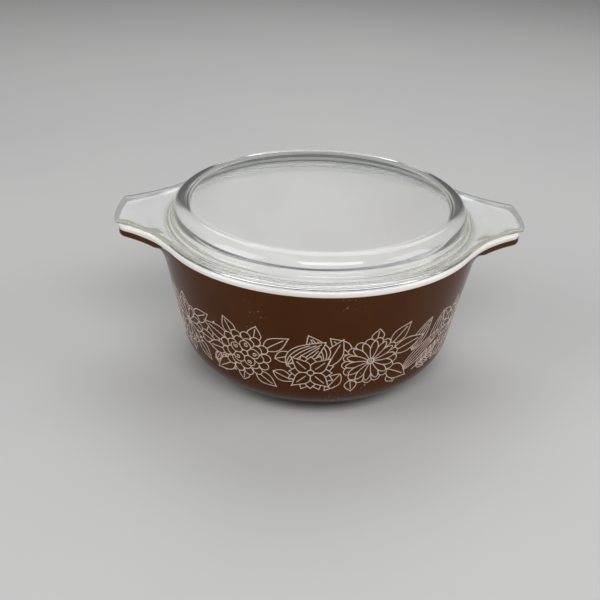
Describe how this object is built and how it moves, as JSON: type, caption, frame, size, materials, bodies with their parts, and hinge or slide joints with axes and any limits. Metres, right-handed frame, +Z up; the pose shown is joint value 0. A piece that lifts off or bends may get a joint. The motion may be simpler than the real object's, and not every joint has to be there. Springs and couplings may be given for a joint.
{
  "type": "covered casserole dish",
  "caption": "Round white glass casserole with an enamelled, flower-printed outside, tab handles and a clear glass lid that lifts off.",
  "frame": {"origin": "middle of the foot ring, at the level of the table", "axes": "+X along the line of the handles, +Z up"},
  "size_m": [0.2724, 0.2172, 0.1216],
  "materials": {
    "opal_glass": "gloss",
    "brown_enamel": "gloss",
    "clear_glass": "polished",
    "print_ink": "satin"
  },
  "bodies": {
    "dish": {"dish": "opal_glass", "enamel_coat": "brown_enamel"},
    "lid": {"lid": "clear_glass"}
  },
  "joints": [
    {"name": "lid_lift", "type": "slide", "parent": "dish", "child": "lid", "axis": [0, 0, 1], "range_m": [0, 0.15]}
  ]
}
